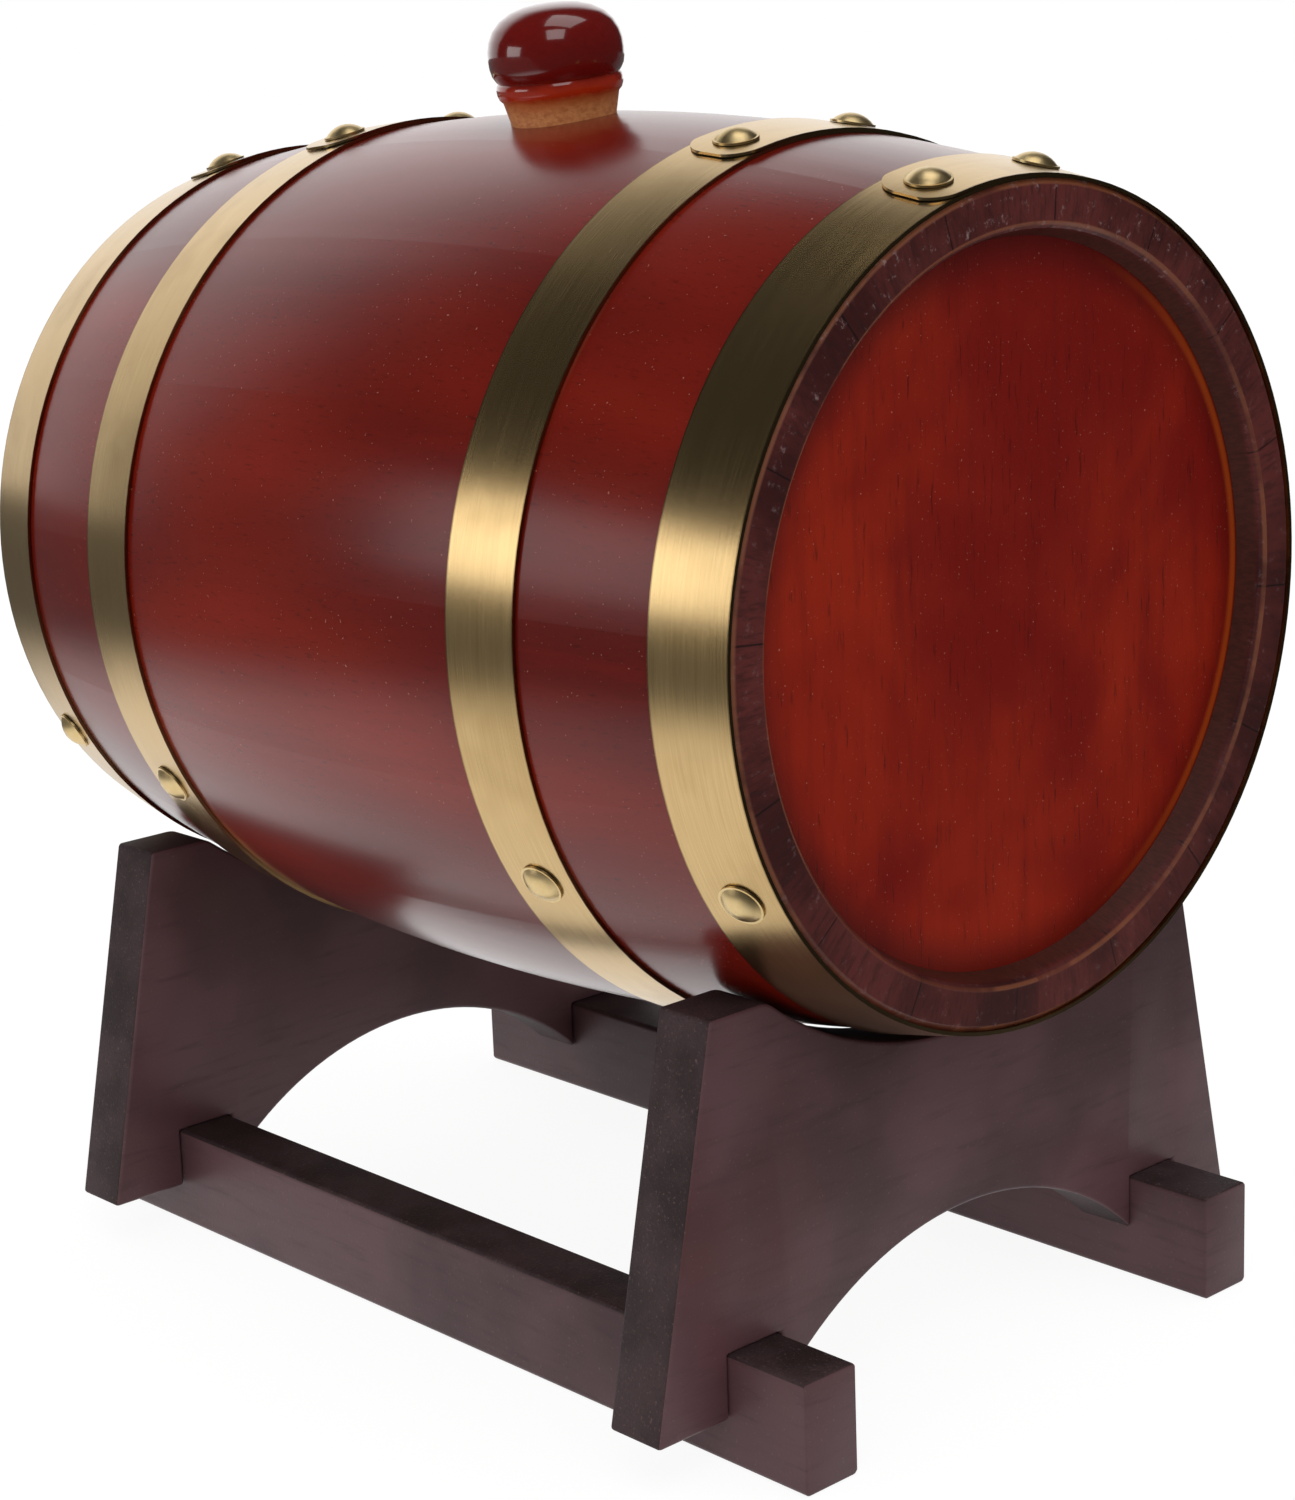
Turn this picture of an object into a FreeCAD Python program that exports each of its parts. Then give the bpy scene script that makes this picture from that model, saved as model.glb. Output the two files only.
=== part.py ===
"""Small oak cask on a slotted stand, with a bung on top and a turned wooden tap in the front head.

The cask axis runs along Y. The front head, with the tap, faces -Y, and Z = 0 is the table.
"""
import FreeCAD, Part

import math
import os

import Sketcher

Vector = FreeCAD.Vector
Rotation = FreeCAD.Rotation
Placement = FreeCAD.Placement

OUT = "parts"
STAVE_COUNT = 16
HOOP_NAMES = ("front_end_hoop", "front_belly_hoop", "rear_belly_hoop", "rear_end_hoop")

DIMENSIONS = (
    ("cask_length", 250.0, "cask length over the chimes"),
    ("end_radius", 86.5, "stave outer radius at the chime"),
    ("belly_radius", 99.4, "stave outer radius at the belly"),
    ("belly_wall", 12.0, "stave thickness at the belly"),
    ("axis_height", 168.6, "cask axis above the table"),
    ("cask_roll", 6.3, "roll of the cask about its axis"),
    ("stave_arc", 22.5, "angle taken by one stave"),
    ("chime_radius", 76.8, "inner radius of the chime at the end"),
    ("head_radius", 75.2, "visible radius of the head"),
    ("head_recess", 6.0, "depth of the head below the chime"),
    ("head_thickness", 9.0, "thickness of the head panel"),
    ("croze_depth", 3.0, "depth of the groove for the head"),
    ("croze_width", 4.6, "width of the groove for the head"),
    ("croze_clearance", 0.05, "play of the head in its groove"),
    ("chime_round", 1.2, "rounding of the chime"),
    ("hoop_thickness", 0.8, "hoop strip thickness"),
    ("hoop_width", 18.0, "hoop strip width along the cask"),
    ("hoop_fit", 0.05, "clearance under the hoops"),
    ("end_hoop_place", 116.0, "middle of an end hoop from the cask middle"),
    ("belly_hoop_place", 65.1, "middle of a belly hoop from the cask middle"),
    ("lap_arc", 29.0, "angle of the hoop lap"),
    ("lap_round", 7.0, "rounding of the tongue corners"),
    ("hoop_clock", 3.6, "turn of the hoops on the cask"),
    ("rivet_radius", 4.9, "rivet brim radius"),
    ("rivet_brim", 0.5, "rivet brim height"),
    ("rivet_dome", 1.9, "rivet dome height over the brim"),
    ("rivet_rest", 0.01, "clearance of the flat brim over the curved strip"),
    ("rivet_inset", 4.2, "angle from a lap end to its rivet"),
    ("tack_angle", 118.0, "angle from the lap to the side tacks"),
    ("bung_hole_radius", 11.9, "bung hole radius at the outer face"),
    ("bung_taper", 3.2, "slope of the bung and its hole in degrees"),
    ("bung_depth", 15.0, "plug length below the stave face"),
    ("bung_fit", 0.06, "radial clearance of the plug"),
    ("bung_neck", 4.4, "height of the collar over the stave"),
    ("bung_collar_radius", 13.5, "radius of the collar"),
    ("bung_groove", 8.8, "height of the groove over the stave"),
    ("bung_groove_radius", 13.4, "radius of the groove"),
    ("bung_ball_radius", 15.1, "largest radius of the knob"),
    ("bung_ball_height", 14.6, "height of the largest radius"),
    ("bung_height", 25.0, "height of the knob over the stave"),
    ("tap_rise", 25.2, "tap axis above the lowest point of the head"),
    ("tap_hole_radius", 9.0, "tap hole radius at the head face"),
    ("tap_taper", 3.0, "slope of the tap shank in degrees"),
    ("tap_shank", 16.0, "shank length behind the head face"),
    ("tap_fit", 0.04, "clearance of the tap shank in its hole"),
    ("tap_flange_radius", 12.5, "radius of the tap flange"),
    ("tap_flange", 4.0, "thickness of the tap flange"),
    ("tap_flange_arc", 5.0, "radius across the rounded flange"),
    ("tap_waist_radius", 8.6, "radius of the tap waist"),
    ("tap_cove", 3.0, "length of the coves beside the waist"),
    ("tap_round", 1.6, "rounding of the turned edges of the tap"),
    ("tap_barrel_radius", 12.5, "radius of the tap barrel"),
    ("tap_barrel_start", 17.0, "start of the tap barrel from the head"),
    ("tap_barrel_end", 47.0, "end of the tap barrel from the head"),
    ("tap_reach", 64.0, "tap length in front of the head"),
    ("tap_bead", 2.0, "length of the step between barrel and nose"),
    ("tap_nose_radius", 9.5, "radius of the tap nose"),
    ("tap_nose_end", 6.0, "length of the rounded end of the nose"),
    ("tap_nose_face", 4.5, "radius of the flat at the tip of the nose"),
    ("tap_nose_arc", 7.0, "radius of the rounded end of the nose"),
    ("tap_bore_radius", 3.2, "radius of the flow bore"),
    ("key_place", 32.0, "key axis from the head face"),
    ("key_top_radius", 6.6, "key plug radius at the top of the tap"),
    ("key_taper", 2.6, "slope of the key plug in degrees"),
    ("key_fit", 0.06, "radial clearance of the key plug"),
    ("key_lift", 1.0, "gap between the tap and the key collar"),
    ("key_collar_radius", 8.6, "radius of the key collar"),
    ("key_collar", 4.0, "thickness of the key collar"),
    ("key_tail", 2.5, "length of the key plug under the tap"),
    ("key_round", 0.8, "softened edges of the key"),
    ("key_paddle_width", 27.0, "width of the key handle"),
    ("key_paddle_thickness", 7.5, "thickness of the key handle"),
    ("key_paddle_height", 25.0, "height of the key handle"),
    ("key_paddle_round", 1.8, "rounded edges of the key handle"),
    ("spout_place", 56.0, "spout axis from the head face"),
    ("spout_radius", 6.4, "radius of the spout"),
    ("spout_tenon_radius", 4.9, "radius of the spout tenon"),
    ("spout_drop", 25.0, "spout end below the tap axis"),
    ("spout_bore", 2.8, "bore radius of the spout"),
    ("spout_fit", 0.04, "clearance of the spout tenon"),
    ("board_thickness", 15.0, "end board thickness"),
    ("board_place", 96.5, "middle of an end board from the cask middle"),
    ("shoulder_drop", 72.5, "end board shoulders below the cask axis"),
    ("board_bottom", 10.3, "height of the end board feet"),
    ("board_top_half", 74.7, "half width of an end board at the top"),
    ("board_bottom_half", 92.7, "half width of an end board at the feet"),
    ("shoulder_round", 6.0, "rounding between shoulder and saddle"),
    ("saddle_clearance", 0.3, "clearance between the cask and its saddle"),
    ("arch_radius", 82.0, "radius of the arch under an end board"),
    ("arch_top", 35.2, "height of the arch"),
    ("edge_round", 0.8, "softened edges of the stand"),
    ("rail_length", 250.0, "rail length"),
    ("rail_width", 15.0, "rail width"),
    ("rail_height", 24.5, "rail height"),
    ("rail_place", 65.0, "rail middle from the cask middle plane"),
    ("slot_clearance", 0.3, "play of a board slot on each side of its rail"),
)


class Size:
    """A number with the sheet expression that gives it."""

    def __init__(self, value, text):
        self.value = value
        self.text = text

    def joined(self, other, sign, value, swapped=False):
        text = other.text if isinstance(other, Size) else repr(float(other))
        first, second = (text, self.text) if swapped else (self.text, text)
        return Size(value, "(%s %s %s)" % (first, sign, second))

    def __add__(self, other):
        return self.joined(other, "+", self.value + number(other))

    def __radd__(self, other):
        return self.joined(other, "+", number(other) + self.value, True)

    def __sub__(self, other):
        return self.joined(other, "-", self.value - number(other))

    def __rsub__(self, other):
        return self.joined(other, "-", number(other) - self.value, True)

    def __mul__(self, other):
        return self.joined(other, "*", self.value * number(other))

    def __rmul__(self, other):
        return self.joined(other, "*", number(other) * self.value, True)

    def __truediv__(self, other):
        return self.joined(other, "/", self.value / number(other))

    def __neg__(self):
        return Size(-self.value, "(-1 * %s)" % self.text)


def number(size):
    return size.value if isinstance(size, Size) else float(size)


def root(size):
    return Size(math.sqrt(size.value), "sqrt(%s)" % size.text)


def sine(degrees):
    return Size(math.sin(math.radians(degrees.value)), "sin(%s * 1 deg)" % degrees.text)


def arcsine(ratio):
    return Size(math.degrees(math.asin(ratio.value)), "(asin(%s) / 1 deg)" % ratio.text)


def cosine(degrees):
    return Size(math.cos(math.radians(degrees.value)), "cos(%s * 1 deg)" % degrees.text)


def tangent(degrees):
    return Size(math.tan(math.radians(degrees.value)), "tan(%s * 1 deg)" % degrees.text)


doc = FreeCAD.newDocument("cask")
sheet = doc.addObject("Spreadsheet::Sheet", "Dimensions")
SIZES = {}
for row, (alias, value, meaning) in enumerate(DIMENSIONS, start=1):
    sheet.set("A%d" % row, meaning)
    sheet.set("B%d" % row, repr(value))
    sheet.setAlias("B%d" % row, alias)
    SIZES[alias] = Size(value, "Dimensions.%s" % alias)
doc.recompute()


def size(alias):
    return SIZES[alias]


def bind(target, path, amount):
    """Ties a property to the sheet, or sets it where the amount is a plain number."""
    if isinstance(amount, Size):
        target.setExpression(path, amount.text)
    else:
        target.setExpression(path, repr(float(amount)))


def new_body(label):
    body = doc.addObject("PartDesign::Body", label)
    body.Label = label
    return body


def origin_plane(body, role):
    for feature in body.Origin.OriginFeatures:
        if feature.Role == role:
            return feature
    raise ValueError(role)


def new_sketch(body, role, name, offset=None):
    sketch = body.newObject("Sketcher::SketchObject", name)
    sketch.AttachmentSupport = [(origin_plane(body, role), "")]
    sketch.MapMode = "FlatFace"
    if offset is not None:
        sketch.AttachmentOffset = Placement(Vector(0, 0, number(offset)), Rotation())
        bind(sketch, "AttachmentOffset.Base.z", offset)
    return sketch


def signed_distance(sketch, kind, geometry, point, amount):
    """Holds a sketch point at a signed distance from the sketch origin."""
    value = number(amount)
    if abs(value) < 1e-9:
        axis = -2 if kind == "DistanceX" else -1
        sketch.addConstraint(Sketcher.Constraint("PointOnObject", geometry, point, axis))
        return
    flipped = -amount if value < 0 else amount
    ends = (geometry, point, -1, 1) if value < 0 else (-1, 1, geometry, point)
    index = sketch.addConstraint(Sketcher.Constraint(kind, *ends, abs(value)))
    if isinstance(flipped, Size):
        sketch.setExpression("Constraints[%d]" % index, flipped.text)


def arc_between(start, end, radius, bulge):
    """Shallow arc from start to end; a positive bulge puts it on the left of the chord."""
    middle = (start + end) * 0.5
    chord = end - start
    half = chord.Length / 2
    left = Vector(-chord.y, chord.x, 0).normalize()
    centre = middle - left * (bulge * math.sqrt(radius * radius - half * half))
    first, last = (end, start) if bulge > 0 else (start, end)
    angles = [math.atan2(point.y - centre.y, point.x - centre.x) for point in (first, last)]
    return Part.ArcOfCircle(Part.Circle(centre, Vector(0, 0, 1), radius), *angles)


def outline(sketch, corners, arcs=None):
    """Closed outline through corners; arcs maps a side's number to its radius and bulge."""
    arcs = arcs or {}
    points = [Vector(number(x), number(y), 0) for x, y in corners]
    sides = []
    for place, start in enumerate(points):
        end = points[(place + 1) % len(points)]
        if place in arcs:
            radius, bulge = arcs[place]
            curve = arc_between(start, end, number(radius), bulge)
            ends = (2, 1) if bulge > 0 else (1, 2)
            sides.append((sketch.addGeometry(curve), *ends))
        else:
            sides.append((sketch.addGeometry(Part.LineSegment(start, end)), 1, 2))
    for place, (index, first, last) in enumerate(sides):
        follower = sides[(place + 1) % len(sides)]
        sketch.addConstraint(Sketcher.Constraint("Coincident", index, last, follower[0], follower[1]))
    for place, (x, y) in enumerate(corners):
        index, first, last = sides[place]
        signed_distance(sketch, "DistanceX", index, first, x)
        signed_distance(sketch, "DistanceY", index, first, y)
    for place, (radius, bulge) in arcs.items():
        held = sketch.addConstraint(Sketcher.Constraint("Radius", sides[place][0], number(radius)))
        if isinstance(radius, Size):
            sketch.setExpression("Constraints[%d]" % held, radius.text)
    return sketch


def circle(sketch, x, y, radius):
    index = sketch.addGeometry(Part.Circle(Vector(number(x), number(y), 0), Vector(0, 0, 1), number(radius)))
    signed_distance(sketch, "DistanceX", index, 3, x)
    signed_distance(sketch, "DistanceY", index, 3, y)
    held = sketch.addConstraint(Sketcher.Constraint("Radius", index, number(radius)))
    if isinstance(radius, Size):
        sketch.setExpression("Constraints[%d]" % held, radius.text)
    return sketch


def revolve(body, sketch, axis="H_Axis", angle=360.0, midplane=False, cut=False):
    kind = "PartDesign::Groove" if cut else "PartDesign::Revolution"
    feature = body.newObject(kind, "Turned")
    feature.Profile = sketch
    feature.ReferenceAxis = (sketch, [axis])
    feature.Midplane = midplane
    feature.Angle = number(angle)
    if isinstance(angle, Size):
        bind(feature, "Angle", angle)
    return feature


def extrude(body, sketch, length, midplane=True, cut=False, through=False):
    feature = body.newObject("PartDesign::Pocket" if cut else "PartDesign::Pad", "Drawn")
    feature.Profile = sketch
    feature.Midplane = midplane
    if through:
        feature.Type = "ThroughAll"
        return feature
    feature.Length = number(length)
    bind(feature, "Length", length)
    return feature


cask_middle = (size("tap_reach") - size("head_recess")) / 2


def hang_on_axis(part, turn, drop=0.0, along=0.0):
    """Puts a piece drawn about the cask axis, or below it, at its height and turned about that axis."""
    below = Size(0.0, "0") + drop
    place = (
        -(below * sine(turn)),
        cask_middle + along,
        size("axis_height") - below * cosine(turn),
    )
    part.Placement = Placement(Vector(*[number(side) for side in place]), Rotation(Vector(0, 1, 0), number(turn)))
    for side, amount in zip("xyz", place):
        bind(part, "Placement.Base." + side, amount)
    bind(part, "Placement.Rotation.Angle", turn)


half_length = size("cask_length") / 2
swell = size("belly_radius") - size("end_radius")
stave_curve = (half_length * half_length + swell * swell) / (2 * swell)
curve_centre = size("belly_radius") - stave_curve
head_face = half_length - size("head_recess")
head_back = head_face - size("head_thickness")
groove_back = head_face - size("croze_width")
hollow_radius = size("belly_radius") - size("belly_wall")
howel_drop = hollow_radius - size("head_radius")
tap_drop = size("head_radius") - size("tap_rise")
hollow_curve = (groove_back * groove_back + howel_drop * howel_drop) / (2 * howel_drop)
groove_radius = size("head_radius") + size("croze_depth")


def stave_radius(place):
    """Outer radius of the cask at a distance from its middle."""
    return curve_centre + root(stave_curve * stave_curve - place * place)


def make_stave(number_in_ring):
    body = new_body("stave_%02d" % (number_in_ring + 1))
    sketch = new_sketch(body, "YZ_Plane", "Profile")
    round_in = half_length - size("chime_round")
    right = (
        (half_length, stave_radius(half_length) - size("chime_round")),
        (half_length, size("chime_radius") + size("chime_round")),
        (round_in, size("chime_radius")),
        (head_face, size("head_radius")),
        (head_face, groove_radius),
        (groove_back, groove_radius),
        (groove_back, size("head_radius")),
    )
    left = tuple((-across, up) for across, up in reversed(right))
    corners = ((-round_in, stave_radius(round_in)), (round_in, stave_radius(round_in))) + right + left
    hollow_side = 1 + len(right)
    outline(sketch, corners, {0: (stave_curve, 1), hollow_side: (hollow_curve, -1)})
    revolve(body, sketch, angle=size("stave_arc"), midplane=True)
    if number_in_ring == 0:
        cut_bung_hole(body)
    hang_on_axis(body, size("cask_roll") + number_in_ring * size("stave_arc"))
    return body


def cut_bung_hole(body):
    """A tapered hole, wide at the outer face and open on both sides of the stave."""
    outer = size("belly_radius") + 2
    inner = hollow_radius - 4
    slope = tangent(size("bung_taper"))
    sketch = new_sketch(body, "XZ_Plane", "BungHole")
    corners = (
        (0, inner),
        (size("bung_hole_radius") - slope * (size("belly_wall") + 4), inner),
        (size("bung_hole_radius") + slope * 2, outer),
        (0, outer),
    )
    outline(sketch, corners)
    revolve(body, sketch, axis="V_Axis", cut=True)


def make_head(label, side):
    """A round panel, thinned at the back of its rim to enter the groove; the front one takes the tap."""
    body = new_body(label)
    sketch = new_sketch(body, "YZ_Plane", "Profile")
    play = size("croze_clearance")
    corners = (
        (side * (head_face - play), 0),
        (side * (head_face - play), groove_radius - play),
        (side * (groove_back + play), groove_radius - play),
        (side * (groove_back + play), size("head_radius") - 1),
        (side * head_back, size("head_radius") - 4),
        (side * head_back, 0),
    )
    outline(sketch, corners)
    revolve(body, sketch)
    if side < 0:
        cut_tap_hole(body)
    hang_on_axis(body, size("cask_roll"))
    return body


def cut_tap_hole(body):
    """A tapered hole below the middle of the front head."""
    slope = tangent(size("tap_taper"))
    depth = size("head_thickness") + 2
    sketch = new_sketch(body, "YZ_Plane", "TapHole")
    centre = -tap_drop
    front = -(head_face + 1)
    back = -(head_face - depth)
    corners = (
        (back, centre),
        (front, centre),
        (front, centre + size("tap_hole_radius") + slope),
        (back, centre + size("tap_hole_radius") - slope * depth),
    )
    outline(sketch, corners)
    revolve(body, sketch, axis="Edge1", cut=True)


def band_profile(body, near, far, inner_gap, outer_gap):
    """Section of a strip that follows the staves between two distances from the middle."""
    sketch = new_sketch(body, "YZ_Plane", "Strip")
    corners = (
        (near, stave_radius(near) + outer_gap),
        (far, stave_radius(far) + outer_gap),
        (far, stave_radius(far) + inner_gap),
        (near, stave_radius(near) + inner_gap),
    )
    return outline(sketch, corners, {0: (stave_curve, 1), 2: (stave_curve, -1)})


lap_tilt = size("lap_arc") / 2
lap_rise = size("hoop_thickness") / sine(size("lap_arc"))
hoop_turn = size("cask_roll") - size("hoop_clock")


def make_hoop(label, place):
    """A closed strip whose outer end rises over the inner end as a tongue with rounded corners."""
    near = place - size("hoop_width") / 2
    far = place + size("hoop_width") / 2
    fit = size("hoop_fit")
    top = fit + size("hoop_thickness")
    ring = new_body(label + "_ring")
    revolve(ring, band_profile(ring, near, far, fit, top))
    tongue = new_body(label + "_tongue")
    strip = band_profile(tongue, near, far, fit + size("hoop_thickness") * 0.3, top)
    revolve(tongue, strip, angle=size("lap_arc"), midplane=True)
    tip = (stave_radius(place) + top) * sine(lap_tilt)
    round_tongue(tongue, tip, far, 1)
    round_tongue(tongue, tip, near, -1)
    shift = (lap_rise * cosine(lap_tilt), lap_rise * sine(lap_tilt))
    tongue.Placement = Placement(Vector(number(shift[0]), 0, number(shift[1])), Rotation())
    bind(tongue, "Placement.Base.x", shift[0])
    bind(tongue, "Placement.Base.z", shift[1])
    hoop = doc.addObject("Part::MultiFuse", label)
    hoop.Label = label
    hoop.Shapes = [ring, tongue]
    hang_on_axis(hoop, hoop_turn)
    return hoop


def round_tongue(tongue, tip, border, way):
    """Cuts one corner of the free end back to a quarter round."""
    sketch = new_sketch(tongue, "XY_Plane", "Corner")
    back = tip - size("lap_round")
    clear = tip + 3
    corners = (
        (back, border),
        (tip, border - way * size("lap_round")),
        (clear, border - way * size("lap_round")),
        (clear, border + way * 3),
        (back, border + way * 3),
    )
    outline(sketch, corners, {0: (size("lap_round"), way)})
    extrude(tongue, sketch, 1, cut=True, through=True)


def make_rivet(label, place, angle, on_lap):
    """A domed rivet standing square on the strip, at a place along the cask and an angle round it."""
    body = new_body(label)
    sketch = new_sketch(body, "XZ_Plane", "Section")
    lean = -arcsine(place / stave_curve)
    sketch.AttachmentOffset = Placement(Vector(0, 0, 0), Rotation(Vector(1, 0, 0), number(lean)))
    bind(sketch, "AttachmentOffset.Rotation.Angle", lean)
    cap = size("rivet_radius") * 0.9
    crown = size("rivet_brim") + size("rivet_dome")
    corners = (
        (0, size("rivet_rest")),
        (size("rivet_radius"), size("rivet_rest")),
        (size("rivet_radius"), size("rivet_brim")),
        (cap, size("rivet_brim")),
        (0, crown),
    )
    dome = (cap * cap + size("rivet_dome") * size("rivet_dome")) / (2 * size("rivet_dome"))
    outline(sketch, corners, {3: (dome, -1)})
    revolve(body, sketch, axis="V_Axis")
    reach = stave_radius(place) + size("hoop_fit") + size("hoop_thickness")
    turn = angle
    if on_lap:
        reach = reach + lap_rise * sine(angle + lap_tilt)
        turn = angle - arcsine(lap_rise * cosine(angle + lap_tilt) / reach)
    spot = (reach * sine(angle), place, reach * cosine(angle))
    body.Placement = Placement(Vector(*[number(side) for side in spot]), Rotation(Vector(0, 1, 0), number(turn)))
    for side, amount in zip("xyz", spot):
        bind(body, "Placement.Base." + side, amount)
    bind(body, "Placement.Rotation.Angle", turn)
    return body


def make_rivets(label, place):
    """Two rivets through the lap and one tack on each side of the cask."""
    lap_end = lap_tilt - size("rivet_inset")
    angles = (lap_end, -lap_end, size("tack_angle"), -size("tack_angle"))
    rivets = []
    for spot, angle in enumerate(angles, start=1):
        rivets.append(make_rivet("%s_%d" % (label, spot), place, angle, on_lap=spot <= 2))
    group = doc.addObject("Part::Compound", label)
    group.Label = label
    group.Links = rivets
    hang_on_axis(group, hoop_turn)
    return group


def make_bung():
    """A turned bung: tapered plug, collar, groove and round knob."""
    body = new_body("bung")
    sketch = new_sketch(body, "XZ_Plane", "Section")
    face = size("belly_radius")
    slope = tangent(size("bung_taper"))
    plug = size("bung_hole_radius") - size("bung_fit")
    start = face - size("bung_depth")
    knob_top = face + size("bung_height")
    corners = (
        (0, start),
        (plug - slope * size("bung_depth") - 1, start),
        (plug - slope * size("bung_depth"), start + 1),
        (plug, face),
        (size("bung_collar_radius") - 0.6, face + size("bung_neck")),
        (size("bung_collar_radius"), face + size("bung_neck") + 1),
        (size("bung_collar_radius") + 0.4, face + size("bung_groove") - 0.8),
        (size("bung_groove_radius"), face + size("bung_groove")),
        (size("bung_ball_radius"), face + size("bung_ball_height")),
        (0, knob_top),
    )
    crown = size("bung_height") - size("bung_ball_height")
    wide = size("bung_ball_radius")
    dome = (wide * wide + crown * crown) / (2 * crown)
    outline(sketch, corners, {7: (size("bung_ball_radius") * 0.8, -1), 8: (dome, -1)})
    revolve(body, sketch, axis="V_Axis")
    hang_on_axis(body, size("cask_roll"))
    return body


def make_tap_body():
    """A turned spigot with a tapered shank, a bored barrel for the key and a round nose."""
    body = new_body("tap_body")
    sketch = new_sketch(body, "YZ_Plane", "Profile")
    slope = tangent(size("tap_taper"))
    shank = size("tap_hole_radius") - size("tap_fit")
    waist = size("tap_waist_radius")
    barrel = size("tap_barrel_radius")
    start = size("tap_barrel_start")
    end = size("tap_barrel_end")
    reach = size("tap_reach")
    nose = size("tap_nose_radius")
    cove = size("tap_cove")
    bead = size("tap_bead")
    round_edge = size("tap_round")
    corners = (
        (size("tap_shank"), 0),
        (size("tap_shank"), shank - slope * size("tap_shank")),
        (0, shank),
        (0, size("tap_flange_radius")),
        (-size("tap_flange"), size("tap_flange_radius") - round_edge),
        (-(size("tap_flange") + cove), waist),
        (-(start - cove), waist),
        (-start, barrel - round_edge),
        (-(start + round_edge), barrel),
        (-(end - round_edge), barrel),
        (-end, barrel - round_edge),
        (-(end + bead), nose - bead / 2),
        (-(end + bead * 2), nose),
        (-(reach - size("tap_nose_end")), nose),
        (-reach, size("tap_nose_face")),
        (-reach, 0),
    )
    arcs = {
        3: (size("tap_flange_arc"), -1),
        7: (round_edge, -1),
        9: (round_edge, -1),
        13: (size("tap_nose_arc"), -1),
    }
    outline(sketch, corners, arcs)
    revolve(body, sketch)
    bore_tap(body)
    hang_on_axis(body, size("cask_roll"), drop=tap_drop, along=-head_face)
    return body


def bore_tap(body):
    """The flow bore from the shank to the spout, the tapered key bore and the spout's hole."""
    flow = new_sketch(body, "YZ_Plane", "FlowBore")
    bore = size("tap_bore_radius")
    front = -(size("spout_place") + bore)
    outline(flow, ((size("tap_shank") + 1, 0), (front, 0), (front, bore), (size("tap_shank") + 1, bore)))
    revolve(body, flow, cut=True)
    key = new_sketch(body, "YZ_Plane", "KeyBore")
    slope = tangent(size("key_taper"))
    high = size("tap_barrel_radius") + 1
    low = -high
    place = -size("key_place")
    wide = size("key_top_radius") + slope
    narrow = size("key_top_radius") - slope * (size("tap_barrel_radius") * 2 + 1)
    outline(key, ((place, low), (place, high), (place + wide, high), (place + narrow, low)))
    revolve(body, key, axis="Edge1", cut=True)
    spout = new_sketch(body, "YZ_Plane", "SpoutHole")
    centre = -size("spout_place")
    side = centre + size("spout_tenon_radius")
    deep = -(size("tap_nose_radius") + 1)
    outline(spout, ((centre, deep), (centre, 0), (side, 0), (side, deep)))
    revolve(body, spout, axis="Edge1", cut=True)


def make_tap_spout():
    """A short turned tube whose tenon enters the nose from below."""
    body = new_body("tap_spout")
    sketch = new_sketch(body, "XZ_Plane", "Section")
    inside = size("spout_bore")
    outside = size("spout_radius")
    lip = inside * 0.4
    shoulder = -size("tap_nose_radius")
    tenon = size("spout_tenon_radius") - size("spout_fit")
    tip = -size("spout_drop")
    corners = (
        (inside, -size("tap_bore_radius")),
        (tenon, -size("tap_bore_radius")),
        (tenon, shoulder),
        (outside * 1.15, shoulder),
        (outside * 1.15, shoulder - outside * 0.4),
        (outside * 0.9, shoulder - outside * 0.7),
        (outside * 0.9, tip + lip),
        (inside + lip, tip),
        (inside, tip),
    )
    outline(sketch, corners, {6: (outside / 2, -1)})
    revolve(body, sketch, axis="V_Axis")
    hang_on_axis(body, size("cask_roll"), drop=tap_drop, along=-(head_face + size("spout_place")))
    return body


def make_tap_key():
    """A tapered plug with a cross port, a collar and a flat rounded handle, drawn in the shut position."""
    body = new_body("tap_key")
    sketch = new_sketch(body, "XZ_Plane", "Section")
    slope = tangent(size("key_taper"))
    high = size("tap_barrel_radius")
    low = high + size("key_tail")
    soft = size("key_round")
    plug = size("key_top_radius") - size("key_fit")
    collar_low = high + size("key_lift")
    collar_high = collar_low + size("key_collar")
    collar = size("key_collar_radius")
    corners = (
        (0, -low),
        (plug - slope * (high + low) - soft, -low),
        (plug - slope * (high + low - soft), -(low - soft)),
        (plug + slope * size("key_lift"), collar_low),
        (collar - soft, collar_low),
        (collar, collar_low + soft),
        (collar, collar_high - soft),
        (collar - soft, collar_high),
        (0, collar_high),
    )
    outline(sketch, corners)
    revolve(body, sketch, axis="V_Axis")
    add_key_handle(body, collar_high)
    port = new_sketch(body, "YZ_Plane", "Port")
    circle(port, 0, 0, size("tap_bore_radius"))
    extrude(body, port, 1, cut=True, through=True)
    hang_on_axis(body, size("cask_roll"), drop=tap_drop, along=-(head_face + size("key_place")))
    return body


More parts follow.
